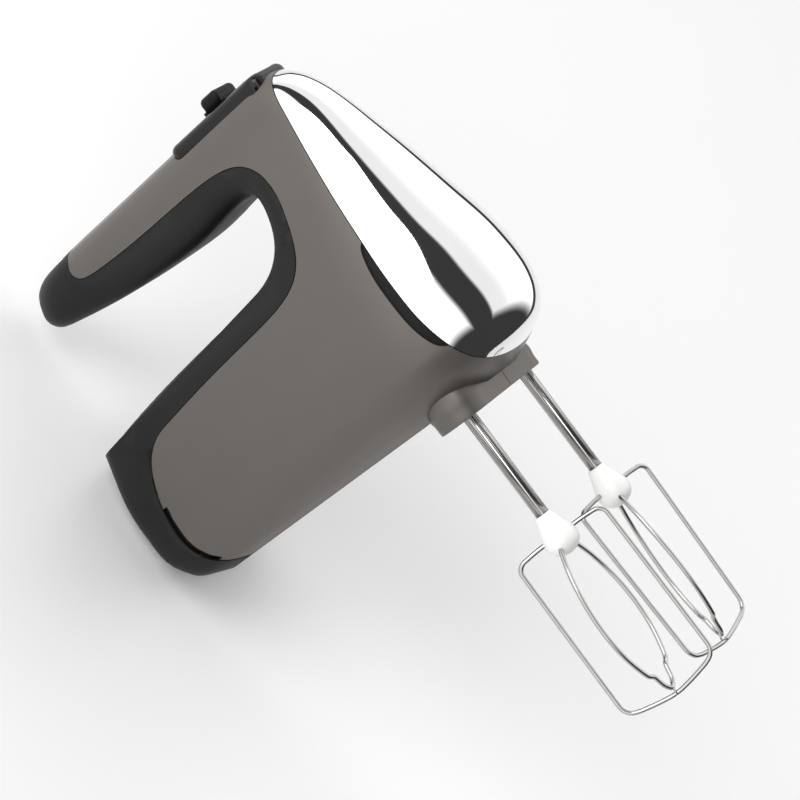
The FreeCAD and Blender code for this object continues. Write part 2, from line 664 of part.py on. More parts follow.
def control_frame():
    """Plate under the controls with a guide for the ejector's stem."""
    plate = box((FRAME_PLATE_X, FRAME_PLATE_X + 2.5), (-10, 10), (118, 195))
    return plate.cut(box((-120, -90), (-2.9, 2.9), (STEM_Z[0] - 0.4, STEM_Z[1] + 0.4)))


def switch_block():
    """Housing of the stepped speed switch, behind the selector."""
    return box((FRAME_PLATE_X - 2.6, FRAME_PLATE_X), (-8, 8), (126, 168))


def circuit_board():
    """Speed control board with its power device on a heat sink."""
    board = box((-92, -56), (-14, 14), (180.0, 181.6))
    board = board.cut(box((-100, -40), (-3.4, 3.4), (170, 183)))
    parts = [box((-86, -80), (6, 12), (181.6, 188)), box((-72, -62), (-12, -5), (181.6, 190)),
             box((-74, -60), (5, 9), (181.6, 192))]
    return [biggest(board)] + parts


def wire_along(points, radius):
    """Round wire: straight runs between the points, joined by tangent arcs."""
    edges = []
    start = points[0]
    for before, corner, after in zip(points, points[1:], points[2:]):
        into = corner - before
        out = after - corner
        reach = 0.45 * min(into.Length, out.Length)
        into.normalize()
        out.normalize()
        turn = into.getAngle(out)
        arc_in = corner - into * reach
        arc_out = corner + out * reach
        bend = reach / math.tan(turn / 2)
        inward = (out - into).normalize()
        middle = corner + inward * (bend / math.cos(turn / 2) - bend)
        edges.append(Part.LineSegment(start, arc_in).toShape())
        edges.append(Part.Arc(arc_in, middle, arc_out).toShape())
        start = arc_out
    edges.append(Part.LineSegment(start, points[-1]).toShape())
    ring = Part.Wire(Part.Circle(points[0], points[1] - points[0], radius).toShape())
    sweep = Part.BRepOffsetAPI.MakePipeShell(Part.Wire(edges))
    sweep.add(ring)
    sweep.build()
    sweep.makeSolid()
    wire = Part.Solid(sweep.shape())
    if wire.Volume < 0:
        wire.reverse()
    return wire


def coil_spring(radius, wire, start, end, turns):
    """Helical compression spring along X."""
    rise = end.x - start.x - 2 * wire
    steps = int(12 * turns)
    points = []
    for k in range(steps + 1):
        angle = 2 * math.pi * turns * k / steps
        points.append(start + Vec(wire + rise * k / steps, radius * math.cos(angle),
                                  radius * math.sin(angle)))
    return wire_along(points, wire)


# ---- beaters ------------------------------------------------------------------------------
BEATER_TOP_X = -12.0
KNOT_RISE = 2 * WIRE_R + 0.5


def loop_path(radius_at, start_x, start_r, end_x, rise, facing, hand):
    """Path of one wire loop: out of the hub, down, across the foot and back up."""
    stations = []
    steps = 9
    side_start = start_x + 3.0
    side_end = end_x - rise - 4.5
    stations.append((start_x, start_r))
    stations.append((start_x, (start_r + radius_at(0.0)) / 2))
    stations.append((start_x + 0.6, radius_at(0.0) - 2.4))
    for k in range(steps):
        t = k / (steps - 1)
        stations.append((side_start + (side_end - side_start) * t, radius_at(t)))
    stations.append((end_x - rise - 1.4, radius_at(1.0) - 2.0))
    stations.append((end_x - rise, radius_at(1.0) - 5.2))
    stations.append((end_x - rise * 0.35, radius_at(1.0) * 0.35))
    points = []
    for sign in (1, -1):
        arm = []
        for x, r in stations:
            angle = math.radians(facing + hand * TWIST_PER_MM * (x - start_x))
            arm.append(Vec(x, sign * r * math.sin(angle), sign * r * math.cos(angle)))
        points.append(arm)
    foot = Vec(end_x, 0, 0)
    return points[0] + [foot] + points[1][::-1]


def outer_radius(t):
    """Radius of the square loop from its top bar to its foot."""
    return LOOP_TOP_R + (LOOP_R - LOOP_TOP_R) * t


def inner_radius(t):
    """Radius of the oval loop: leaves the hub narrow and is widest below the middle."""
    return 6.0 + 12.6 * math.sin(math.pi * min(t * 0.9 + 0.02, 1.0)) ** 0.62


def beater(side, facing):
    """Shaft, hub and two crossed loops of one beater."""
    place = Vec(0, side * BEATER_Y, BEATER_Z)
    shaft = rod(BEATER_SHAFT_R, Vec(BEATER_TOP_X, 0, 0), Vec(HUB_X + 3, 0, 0))
    groove = tube(4.0, BEATER_SHAFT_R - 0.5, Vec(BEATER_TOP_X + 5, 0, 0),
                  Vec(BEATER_TOP_X + 6.6, 0, 0))
    ears = box((31.5, 34.5), (-EAR_REACH, EAR_REACH), (-0.8, 0.8))
    shaft = fuse([shaft.cut(groove), ears])
    outer_points = loop_path(outer_radius, HUB_X, 2.2, LOOP_END_X, 3.0, facing, side)
    inner_points = loop_path(inner_radius, HUB_X + 3.4, 4.4, LOOP_END_X - KNOT_RISE, 9.0,
                             facing + INNER_TURN, side)
    profile = side_curve([(HUB_TOP_X, 3.9), (HUB_TOP_X + 2.5, 4.6), (HUB_TOP_X + 8, 6.6),
                          (HUB_TOP_X + 12.5, HUB_R), (HUB_TOP_X + 16.4, 6.3),
                          (HUB_TOP_X + 18.4, 3.6), (HUB_TOP_X + 19, 1.6)])
    lines = Part.makePolygon([Vec(HUB_TOP_X + 19, 0, 1.6), Vec(HUB_TOP_X + 19, 0, 0),
                              Vec(HUB_TOP_X, 0, 0), Vec(HUB_TOP_X, 0, 3.9)])
    hub = Part.Face(Part.Wire([profile] + lines.Edges)).revolve(Vec(0, 0, 0), AXIS_X, 360)
    hub = Part.Solid(hub.Shells[0])
    if hub.Volume < 0:
        hub.reverse()
    outer_loop = wire_along(outer_points, WIRE_R).cut(hub)
    inner_loop = wire_along(inner_points, WIRE_R).cut(hub)
    hub = hub.cut(rod(BEATER_SHAFT_R + 0.02, Vec(0, 0, 0), Vec(HUB_X + 3, 0, 0)))
    pieces = {"beater_shaft": shaft, "beater_hub": biggest(hub),
              "outer_loop": biggest(outer_loop), "inner_loop": biggest(inner_loop)}
    for piece in pieces.values():
        piece.translate(place)
    return pieces


# ---- fasteners and cord inlet --------------------------------------------------------------
def gearbox_screws():
    """Screws that hold the gearbox cover."""
    screws = []
    for side in (-1, 1):
        for x in (FRAME_X[0] + 1.75, FRAME_X[1] - 1.75):
            shank = rod(1.28, Vec(x, side * 12, 192), Vec(x, side * 12, FRAME_END_Z + 2.5))
            head = rod(2.4, Vec(x, side * 12, FRAME_END_Z + 2.5), Vec(x, side * 12, FRAME_END_Z + 4.2))
            screws.append(fuse([shank, head]))
    return screws


GLAND_AT = Vec(-19.0, 14.0, 0.0)
GLAND_BORE_R = 3.6


def cord_gland():
    """Flush rubber gland in the heel plate that the mains lead passes through."""
    return tube(6.4, GLAND_BORE_R, GLAND_AT, GLAND_AT + Vec(0, 0, 12))


# ---- assembly -----------------------------------------------------------------------------
def build():
    """Every node's solids, by name."""
    nodes = {}
    case = shells()
    for name in ("side_shell", "core_shell"):
        nodes[name + "_left"] = [case[name + "_left"]]
        nodes[name + "_right"] = [mirrored(case[name + "_left"])]
    gland_hole = rod(6.45, GLAND_AT - Vec(0, 0, 5), GLAND_AT + Vec(0, 0, 14))
    nodes["core_shell_left"] = [biggest(case["core_shell_left"].cut(gland_hole))]
    for name in ("heel_cap", "heel_trim"):
        nodes[name] = [biggest(case[name].cut(gland_hole))]
    nodes["front_cover"] = [case["front_cover"]]
    skins = [s for s in case["vent_skin"].Solids if s.Volume > 5]
    nodes["vent_grilles"] = skins + [mirrored(s) for s in skins]
    nodes["cord_gland"] = [cord_gland()]
    nodes["collar_plate"] = [collar_plate()]

    nodes["gearbox_frame"] = [gearbox_frame()]
    nodes["gearbox_cover"] = [gearbox_cover()]
    nodes["gearbox_screws"] = gearbox_screws()
    nodes["spindle_bushes"] = spindle_bushes()
    nodes["stator_core"] = [stator_core()]
    nodes["field_coils"] = field_coils()
    nodes["motor_bracket"] = [motor_bracket()]
    nodes.update(motor_bearings())
    nodes.update(brush_gear())

    nodes["motor_shaft"] = [motor_shaft()]
    nodes["worm_gear"] = [worm()]
    nodes["armature_core"] = [armature_core()]
    nodes["armature_windings"] = armature_windings()
    nodes["commutator"] = [commutator()]
    nodes["cooling_fan"] = [cooling_fan()]

    for side, word, facing in ((-1, "right", 44.0), (1, "left", 74.0)):
        nodes["drive_gear_" + word] = [drive_gear(side)]
        nodes["spindle_" + word] = [spindle(side)]
        for name, piece in beater(side, facing).items():
            nodes[name + "_" + word] = [piece]

    nodes["control_panel"] = [control_panel()]
    nodes["speed_selector"] = [speed_selector()]
    nodes["contact_slider"] = [contact_slider()]
    nodes["eject_button"] = [eject_button()]
    nodes["ejector_fork"] = [ejector_fork()]
    nodes["turbo_button"] = [turbo_button()]
    nodes["control_frame"] = [control_frame()]
    nodes["switch_block"] = [switch_block()]
    nodes["circuit_board"] = circuit_board()
    stem_middle = sum(STEM_Z) / 2
    nodes["eject_spring"] = [coil_spring(4.9, 0.45, Vec(-107.6 + 0.2, 0, stem_middle),
                                         Vec(FRAME_PLATE_X - 0.1, 0, stem_middle), 1.0)]
    turbo_middle = sum(TURBO_Z) / 2
    nodes["turbo_spring"] = [coil_spring(1.6, 0.3, Vec(-108.9, 0, turbo_middle),
                                         Vec(FRAME_PLATE_X - 0.1, 0, turbo_middle), 3.0)]
    return nodes


def export(nodes):
    """One STEP file per node, and a line on each for the log."""
    os.makedirs("parts", exist_ok=True)
    for name, solids in nodes.items():
        shape = solids[0] if len(solids) == 1 else Part.makeCompound(solids)
        shape.exportStep(os.path.join("parts", name + ".step"))
        bounds = shape.BoundBox
        print(f"{name:22s} solids {len(solids)} valid {shape.isValid()} volume {shape.Volume:9.0f} "
              f"x {bounds.XMin:7.1f} {bounds.XMax:7.1f} y {bounds.YMin:6.1f} {bounds.YMax:6.1f} "
              f"z {bounds.ZMin:6.1f} {bounds.ZMax:6.1f}")


if __name__ == "__main__":
    export(build())
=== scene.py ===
"""Looks of the hand mixer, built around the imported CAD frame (metres, same frame)."""
import json
import math

import bmesh
import bpy
import numpy as np
from mathutils import Matrix, Vector


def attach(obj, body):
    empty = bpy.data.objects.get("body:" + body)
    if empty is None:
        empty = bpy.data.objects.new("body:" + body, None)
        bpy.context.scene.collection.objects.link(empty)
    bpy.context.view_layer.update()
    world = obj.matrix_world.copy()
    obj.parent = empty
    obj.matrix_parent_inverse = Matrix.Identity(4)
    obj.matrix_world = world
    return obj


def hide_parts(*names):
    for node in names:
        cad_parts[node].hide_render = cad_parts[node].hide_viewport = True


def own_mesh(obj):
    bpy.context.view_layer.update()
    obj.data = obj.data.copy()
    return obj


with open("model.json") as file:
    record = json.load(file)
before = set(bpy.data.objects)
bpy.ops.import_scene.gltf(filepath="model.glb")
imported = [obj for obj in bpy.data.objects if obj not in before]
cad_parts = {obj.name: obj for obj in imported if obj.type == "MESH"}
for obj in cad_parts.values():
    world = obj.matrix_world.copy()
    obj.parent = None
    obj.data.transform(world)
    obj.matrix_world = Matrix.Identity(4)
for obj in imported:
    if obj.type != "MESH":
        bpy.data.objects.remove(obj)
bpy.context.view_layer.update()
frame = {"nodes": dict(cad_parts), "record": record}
NODES = frame["nodes"]
MM = 0.001


# ---- camera, lights and floor -------------------------------------------------------------
VIEW_AZIMUTH = math.radians(39.5)      # from square on the right side, towards the nose
CAMERA_DISTANCE = 1.070
CAMERA_LENS = 119.25
CAMERA_TARGET = Vector((0.01935, -0.0209, 0.1586))
TILT_COS, TILT_SIN = 0.8, 0.6          # how the mixer is rolled in the frame
FLOOR_HALF = 4.0
WORLD_LEVEL = 1.7                      # brightness of the studio's white walls
DARKEST_FLAG = 0.975                   # share of that light that a dark flag takes away
# dark flags as (from, to, softness), in degrees around the X axis
UPPER_FLAG = (92.0, 124.0, 4.0)
UPPER_HAZE = (58.0, 118.0, 20.0)
HAZE_SHARE = 0.45
SIDE_FLAG = (-3.0, 7.0, 2.0)
BEATER_FLAG = (0.52, 3.0, 0.16)        # the same for the share of a direction along +X


def make_camera():
    """Camera level with the mixer's own sides, rolled so that the beaters point down right."""
    towards = Vector((0.0, -math.cos(VIEW_AZIMUTH), math.sin(VIEW_AZIMUTH)))
    sideways = Vector((0.0, math.sin(VIEW_AZIMUTH), math.cos(VIEW_AZIMUTH)))
    down = Vector((1.0, 0.0, 0.0))
    right = TILT_COS * sideways + TILT_SIN * down
    up = TILT_SIN * sideways - TILT_COS * down
    data = bpy.data.cameras.new("camera")
    data.lens = CAMERA_LENS
    data.sensor_width = 36.0
    data.clip_start = 0.05
    data.clip_end = 20.0
    camera = bpy.data.objects.new("camera", data)
    place = CAMERA_TARGET + CAMERA_DISTANCE * towards
    turn = Matrix((right, up, towards)).transposed().to_4x4()
    camera.matrix_world = Matrix.Translation(place) @ turn
    bpy.context.scene.collection.objects.link(camera)
    bpy.context.scene.camera = camera


def area_light(name, place, target, size, power):
    """Soft rectangular white lamp aimed at a point."""
    data = bpy.data.lights.new(name, "AREA")
    data.shape = "RECTANGLE"
    data.size, data.size_y = size
    data.energy = power
    lamp = bpy.data.objects.new(name, data)
    lamp.location = place
    lamp.rotation_euler = (Vector(target) - Vector(place)).to_track_quat("-Z", "Y").to_euler()
    bpy.context.scene.collection.objects.link(lamp)


def make_floor():
    """Pale seamless floor that the mixer stands on."""
    mesh = bpy.data.meshes.new("floor")
    corners = [(side * FLOOR_HALF, end * FLOOR_HALF, 0)
               for side, end in ((-1, -1), (1, -1), (1, 1), (-1, 1))]
    mesh.from_pydata(corners, [], [(0, 1, 2, 3)])
    floor = bpy.data.objects.new("floor", mesh)
    bpy.context.scene.collection.objects.link(floor)
    mesh.materials.append(floor_material())


def make_world():
    """Soft white studio with the dark flags that a mirrored surface needs to read as metal."""
    world = bpy.data.worlds.new("studio")
    bpy.context.scene.world = world
    world.use_nodes = True
    tree = world.node_tree
    back = tree.nodes["Background"]
    coordinates = tree.nodes.new("ShaderNodeTexCoord")
    split = tree.nodes.new("ShaderNodeSeparateXYZ")
    tree.links.new(coordinates.outputs["Generated"], split.inputs["Vector"])

    def maths(operation, first, second):
        """Result of one sum on two numbers or sockets."""
        node = tree.nodes.new("ShaderNodeMath")
        node.operation = operation
        for socket, value in zip(node.inputs, (first, second)):
            if isinstance(value, float):
                socket.default_value = value
            else:
                tree.links.new(value, socket)
        return node.outputs[0]

    def window(value, low, high, soft):
        """One between two limits and nothing outside them, with soft edges."""
        shares = []
        for edge, sign in ((low, 1.0), (high, -1.0)):
            node = tree.nodes.new("ShaderNodeMapRange")
            node.interpolation_type = "SMOOTHSTEP"
            node.inputs["From Min"].default_value = edge - soft * sign
            node.inputs["From Max"].default_value = edge + soft * sign
            tree.links.new(value, node.inputs["Value"])
            shares.append(node.outputs["Result"])
        return maths("MULTIPLY", shares[0], shares[1])

    # direction around the X axis: 0 is the mixer's left, 90 degrees is straight up
    around = maths("ARCTAN2", split.outputs["Z"], split.outputs["Y"])
    upper, haze, side_on = (window(around, *map(math.radians, flag))
                            for flag in (UPPER_FLAG, UPPER_HAZE, SIDE_FLAG))
    upper = maths("MAXIMUM", upper, maths("MULTIPLY", haze, HAZE_SHARE))
    beyond = window(split.outputs["X"], *BEATER_FLAG)
    dark = maths("MAXIMUM", maths("MAXIMUM", upper, side_on), beyond)
    light = maths("SUBTRACT", 1.0, maths("MULTIPLY", dark, DARKEST_FLAG))
    tree.links.new(maths("MULTIPLY", light, WORLD_LEVEL), back.inputs["Strength"])
    back.inputs["Color"].default_value = (1.0, 1.0, 1.0, 1.0)


# ---- material tools -----------------------------------------------------------------------
class Graph:
    """Short hand for building one node material."""

    def __init__(self, name):
        self.material = bpy.data.materials.new(name)
        self.material.use_nodes = True
        self.tree = self.material.node_tree
        self.shader = self.tree.nodes["Principled BSDF"]

    def add(self, kind, **values):
        """New node, with its settings and unlinked inputs."""
        node = self.tree.nodes.new(kind)
        for key, value in values.items():
            if key in node.inputs:
                node.inputs[key].default_value = value
            else:
                setattr(node, key, value)
        return node

    def link(self, start, end):
        """Wire from one socket to another."""
        self.tree.links.new(start, end)

    def set(self, **values):
        """Constant values on the shader's own sockets."""
        for key, value in values.items():
            self.shader.inputs[key.replace("_", " ")].default_value = value

    def place(self):
        """Object coordinates, which stay with the piece."""
        return self.add("ShaderNodeTexCoord").outputs["Object"]

    def noise(self, scale, detail=3.0, roughness=0.5, vector=None):
        """Cloudy value between 0 and 1."""
        node = self.add("ShaderNodeTexNoise", Scale=scale, Detail=detail, Roughness=roughness)
        self.link(vector or self.place(), node.inputs["Vector"])
        return node.outputs["Fac"]

    def ramp(self, value, low, high):
        """Value between 0 and 1 mapped onto a range."""
        node = self.add("ShaderNodeMapRange")
        node.inputs["To Min"].default_value = low
        node.inputs["To Max"].default_value = high
        self.link(value, node.inputs["Value"])
        return node.outputs["Result"]

    def mix(self, factor, first, second):
        """Colour between two constants."""
        node = self.add("ShaderNodeMix", data_type="RGBA")
        node.inputs[6].default_value = (*first, 1.0)
        node.inputs[7].default_value = (*second, 1.0)
        self.link(factor, node.inputs[0])
        return node.outputs[2]

    def bump(self, height, distance, strength):
        """Relief of a given height in metres."""
        node = self.add("ShaderNodeBump", Strength=strength, Distance=distance)
        self.link(height, node.inputs["Height"])
        self.link(node.outputs["Normal"], self.shader.inputs["Normal"])


def floor_material():
    """Matt near-white paper."""
    graph = Graph("floor_paper")
    tint = graph.mix(graph.noise(6.0), (0.94, 0.94, 0.94), (0.96, 0.96, 0.96))
    graph.link(tint, graph.shader.inputs["Base Color"])
    graph.set(Roughness=0.9, Specular_IOR_Level=0.1)
    return graph.material


def moulded(name, dark, light, roughness, grain=900.0, relief=0.00002, coat=0.0, metallic=0.0,
            gloss=0.5):
    """Moulded plastic: fine grain, faint mottling and uneven gloss."""
    graph = Graph(name)
    mottling = graph.noise(35.0, 4.0)
    graph.link(graph.mix(mottling, dark, light), graph.shader.inputs["Base Color"])
    cloud = graph.noise(18.0, 2.0)
    graph.link(graph.ramp(cloud, roughness - 0.04, roughness + 0.05),
               graph.shader.inputs["Roughness"])
    graph.bump(graph.noise(grain, 2.0), relief, 0.35)
    graph.set(Coat_Weight=coat, Coat_Roughness=0.08, Metallic=metallic,
              Specular_IOR_Level=gloss)
    return graph.material


def metal(name, colour, roughness, streak=0.0, relief=0.000004):
    """Polished or brushed metal with faint streaks and smudges."""
    graph = Graph(name)
    darker = tuple(0.9 * c for c in colour)
    smudge = graph.noise(60.0, 5.0)
    graph.link(graph.mix(smudge, darker, colour), graph.shader.inputs["Base Color"])
    stretched = graph.add("ShaderNodeMapping")
    stretched.inputs["Scale"].default_value = (25.0, 220.0, 220.0)
    graph.link(graph.place(), stretched.inputs["Vector"])
    lines = graph.noise(1.0, 3.0, 0.6, stretched.outputs["Vector"])
    graph.link(graph.ramp(lines, roughness, roughness + streak), graph.shader.inputs["Roughness"])
    graph.bump(lines, relief, 0.3)
    graph.set(Metallic=1.0)
    return graph.material


def make_materials():
    """One material for each slot of the record."""
    return {
        "taupe_plastic": moulded("taupe_plastic", (0.118, 0.107, 0.098), (0.128, 0.116, 0.107),
                                 0.36, metallic=0.45, gloss=0.45),
        "soft_grip": moulded("soft_grip", (0.006, 0.0062, 0.006), (0.009, 0.0093, 0.009), 0.5,
                             grain=1400.0, relief=0.00005, gloss=0.22),
        "heel_plastic": moulded("heel_plastic", (0.006, 0.006, 0.006), (0.009, 0.009, 0.009), 0.35,
                                gloss=0.3),
        "bright_trim": metal("bright_trim", (0.85, 0.85, 0.85), 0.12, 0.08),
        "chrome_plate": metal("chrome_plate", (0.93, 0.93, 0.93), 0.03, 0.015, 0.0),
        "gloss_black": moulded("gloss_black", (0.004, 0.004, 0.004), (0.006, 0.006, 0.006),
                               0.2, coat=0.1, gloss=0.3),
        "matt_black": moulded("matt_black", (0.003, 0.003, 0.003), (0.005, 0.005, 0.005), 0.5,
                              gloss=0.2),
        "white_nylon": moulded("white_nylon", (0.8, 0.8, 0.79), (0.86, 0.86, 0.85), 0.32),
        "steel": metal("steel", (0.47, 0.46, 0.45), 0.16, 0.05, 0.0),
        "dark_steel": metal("dark_steel", (0.3, 0.3, 0.31), 0.35, 0.2),
        "cast_alloy": metal("cast_alloy", (0.6, 0.6, 0.62), 0.45, 0.1),
        "copper": metal("copper", (0.75, 0.36, 0.2), 0.3, 0.1),
        "bronze": metal("bronze", (0.6, 0.42, 0.2), 0.4, 0.1),
        "acetal": moulded("acetal", (0.75, 0.73, 0.66), (0.8, 0.78, 0.7), 0.45),
        "carbon": moulded("carbon", (0.03, 0.03, 0.03), (0.05, 0.05, 0.05), 0.7),
        "board": moulded("board", (0.02, 0.16, 0.06), (0.03, 0.2, 0.08), 0.35),
        "rubber": moulded("rubber", (0.02, 0.02, 0.02), (0.03, 0.03, 0.03), 0.6),
    }


def dress_nodes(materials):
    """Gives every CAD node the material of its slot."""
    for part in frame["record"]["subparts"]:
        mesh = NODES[part["node"]].data
        mesh.materials.clear()
        mesh.materials.append(materials[part["material_slot"]])


# ---- outer form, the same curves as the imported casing, in millimetres -----------------------
WALL = 2.0
COLLAR_WALL = 1.8
VENT_DEPTH = 1.3          # how far the vents' dark floor lies below the skin
VENT_WALL = 0.6
SEAM = 0.35
TOP_X, BELLY_X = -119.0, 34.3
COLLAR_X, COLLAR_Z = 41.5, 180.0
COLLAR_HALF_Y, COLLAR_HALF_Z = 32.5, 12.5
RIM_TOP_Z, RIM_TOP_X, RIM_SLOPE = 194.0, -113.4, 0.095
PANEL_HALF_Y, PANEL_Z = 12.0, (129.5, 190.5)
PANEL_CORNER_R, PANEL_GAP = 6.25, 0.25
PANEL_DEPTH_X = -106.0    # the panel's hole is cut only above this level
SIDE_MESH = (16, 1.0)     # points in a quarter of an outline, millimetres between outlines
COVER_MESH = (24, 0.8)
RELAX_PASSES = 60
BEATER_Y, BEATER_Z = 23.25, 184.0


def monotone(stations):
    """Smooth curve through a few (x, value) stations that never overshoots them."""
    xs = [s[0] for s in stations]
    ys = [s[1] for s in stations]
    last = len(xs) - 1
    steps = [xs[i + 1] - xs[i] for i in range(last)]
    slopes = [(ys[i + 1] - ys[i]) / steps[i] for i in range(last)]
    tangents = [slopes[0]]
    for i in range(1, last):
        before, after = slopes[i - 1], slopes[i]
        if before * after <= 0:
            tangents.append(0.0)
        else:
            w1 = 2 * steps[i] + steps[i - 1]
            w2 = steps[i] + 2 * steps[i - 1]
            tangents.append((w1 + w2) / (w1 / before + w2 / after))
    tangents.append(slopes[-1])

    def value(x):
        x = min(max(x, xs[0]), xs[-1])
        i = max(k for k in range(last) if x >= xs[k])
        t = (x - xs[i]) / steps[i]
        rise = (3 - 2 * t) * t * t
        start = (1 - t) ** 2 * t * steps[i] * tangents[i]
        end = (t - 1) * t * t * steps[i] * tangents[i + 1]
        return ys[i] + (ys[i + 1] - ys[i]) * rise + start + end
    return value


REAR_END = monotone([(-119, 36), (-117, 19), (-112, 12.5), (-104, 10), (-80, 8), (-40, 4.5),
                     (-24, 1), (-8, -1.2), (10, -1.2), (22, 3), (30, 10), (34.3, 20)])
FRONT_END = monotone([(-119, 186), (-116, 193), (-112, 198), (-100, 205.5), (-76, 212.5),
                      (-40, 221), (-14, 226.5), (4, 227.5), (14, 226), (22, 222), (27, 215.5),
                      (31, 206), (34.3, 197)])
REAR_HALF_WIDTH = monotone([(-119, 4), (-117, 9), (-112, 12.8), (-104, 14.6), (-92, 15),
                            (-70, 24), (-45, 33), (-20, 38), (0, 40), (14, 40), (24, 38.5),
                            (31, 34), (34.3, 29)])
FRONT_HALF_WIDTH = monotone([(-119, 6), (-117, 10), (-112, 13.5), (-100, 17), (-76, 26),
                             (-50, 35), (-20, 43), (0, 46), (12, 45.5), (22, 42), (30, 34),
                             (34.3, 27)])
SHOULDER = monotone([(-119, 178), (-112, 182), (-100, 187), (-76, 185), (-40, 180), (0, 174),
                     (20, 164), (34.3, 156)])
REAR_ROUND = monotone([(-119, 30), (-112, 24), (-100, 20), (24, 20), (34.3, 22)])

# side view: the line between the side shell and the dark core, from the handle's top
PARTING = [(-113.8, 48), (-109.6, 47.6), (-106, 50), (-103.6, 57), (-102.4, 70), (-101.4, 91),
           (-101, 112), (-100.5, 134), (-99, 150), (-95, 162.5), (-87, 171.2), (-76, 175.3),
           (-64, 175), (-53, 172.4), (-45.5, 167), (-40.5, 156.5), (-38, 140), (-36.2, 114),
           (-33.8, 84), (-31.6, 63), (-29.6, 52), (-25.4, 44.5), (-20, 39.6), (-12, 35.4),
           (-3, 32.5), (7, 30.7), (15, 31.1), (22, 33.9), (29, 39.5), (33.5, 47.5)]
PARTING_CLOSE = [(45, 62), (60, 62), (60, 260), (-140, 260), (-140, 48)]


def outline(x, fine):
    """Left half of one level outline, as (y, z) from the rear end to the front end."""
    rear, front = REAR_END(x), FRONT_END(x)
    narrow, wide = REAR_HALF_WIDTH(x), FRONT_HALF_WIDTH(x)
    rounding, shoulder = REAR_ROUND(x), SHOULDER(x)
    points = []
    for k in range(fine):
        a = math.pi / 2 * k / fine
        points.append((narrow * math.sin(a), rear + rounding * (1 - math.cos(a))))
    long = 3 * fine
    for k in range(long):
        t = k / long
        widening = t * t * (3 - 2 * t)
        points.append((narrow + (wide - narrow) * widening,
                       rear + rounding + (shoulder - rear - rounding) * t))
    turn = 3 * fine
    for k in range(turn + 1):
        a = math.pi / 2 * k / turn
        points.append((wide * math.cos(a), shoulder + (front - shoulder) * math.sin(a)))
    return points


def grid_faces(rows, across):
    """Four-sided faces between rows of points."""
    faces = []
    for row in range(rows - 1):
        for k in range(across - 1):
            start = row * across + k
            faces.append((start, start + 1, start + across + 1, start + across))
    return faces


def skin(fine, step):
    """Points and faces of the left half of the outer form, in millimetres."""
    rows = [(TOP_X, share / 6) for share in range(6)]
    x = TOP_X
    while x < BELLY_X:
        rows.append((x, 1.0))
        edge = min(x - TOP_X, BELLY_X - x)
        x += step * (0.15 if edge < 3 else 0.4 if edge < 12 else 1.0)
    rows += [(BELLY_X, share / 6) for share in range(6, -1, -1)]
    points = []
    for x, share in rows:
        points += [(x, y * share, z) for y, z in outline(x, fine)]
    return np.array(points), grid_faces(len(rows), len(points) // len(rows))


def clip(points, faces, field):
    """Keeps the part of a surface where the field is positive, with a clean cut edge."""
    values = field(points)
    points = list(map(tuple, points))
    cuts = {}
    kept = []
    for face in faces:
        signs = [values[v] > 0 for v in face]
        if all(signs):
            kept.append(face)
            continue
        if not any(signs):
            continue
        loop = []
        for a, b in zip(face, face[1:] + face[:1]):
            if values[a] > 0:
                loop.append(a)
            if (values[a] > 0) != (values[b] > 0):
                key = (min(a, b), max(a, b))
                if key not in cuts:
                    share = values[a] / (values[a] - values[b])
                    cuts[key] = len(points)
                    points.append(tuple(p + (q - p) * share for p, q in zip(points[a], points[b])))
                loop.append(cuts[key])
        if len(loop) > 2:
            kept.append(tuple(loop))
    used = sorted({v for face in kept for v in face})
    order = {v: i for i, v in enumerate(used)}
    return np.array([points[v] for v in used]), [tuple(order[v] for v in f) for f in kept]


def spline(points, count):
    """Smooth curve through plane points, sampled evenly in its chord parameter."""
    knots = np.array(points, float)
    chord = np.concatenate([[0], np.cumsum(np.linalg.norm(np.diff(knots, axis=0), axis=1))])
    h = np.diff(chord)
    n = len(knots)
    system = np.eye(n)
    right = np.zeros((n, 2))
    for i in range(1, n - 1):
        system[i, i - 1:i + 2] = (h[i - 1], 2 * (h[i - 1] + h[i]), h[i])
        right[i] = 6 * ((knots[i + 1] - knots[i]) / h[i] - (knots[i] - knots[i - 1]) / h[i - 1])
    bend = np.linalg.solve(system, right)
    at = np.linspace(0, chord[-1], count)
    seg = np.clip(np.searchsorted(chord, at, side="right") - 1, 0, n - 2)
    a = ((chord[seg + 1] - at) / h[seg])[:, None]
    b = 1 - a
    curved = ((a ** 3 - a) * bend[seg] + (b ** 3 - b) * bend[seg + 1]) * (h[seg] ** 2)[:, None] / 6
    return a * knots[seg] + b * knots[seg + 1] + curved


def region_field(curve, closing):
    """Distance inside a side-view region, for surface points; negative outside it."""
    polygon = np.vstack([curve, np.array(closing, float)])
    following = np.roll(polygon, -1, axis=0)

    def field(points):
        flat = points[:, [0, 2]]
        nearest = np.full(len(flat), 1e9)
        inside = np.zeros(len(flat), bool)
        for p, q in zip(polygon, following):
            edge = q - p
            share = np.clip((flat - p) @ edge / (edge @ edge), 0, 1)
            nearest = np.minimum(nearest, np.linalg.norm(flat - p - share[:, None] * edge, axis=1))
            crosses = (p[1] > flat[:, 1]) != (q[1] > flat[:, 1])
            with np.errstate(divide="ignore", invalid="ignore"):
                at = p[0] + (flat[:, 1] - p[1]) * edge[0] / edge[1]
            inside ^= crosses & (flat[:, 0] < at)
        return np.where(inside, nearest, -nearest)
    return field


def rim_z(x):
    """Where the nose cover meets the shells at one height."""
    return RIM_TOP_Z + RIM_SLOPE * (x - RIM_TOP_X)


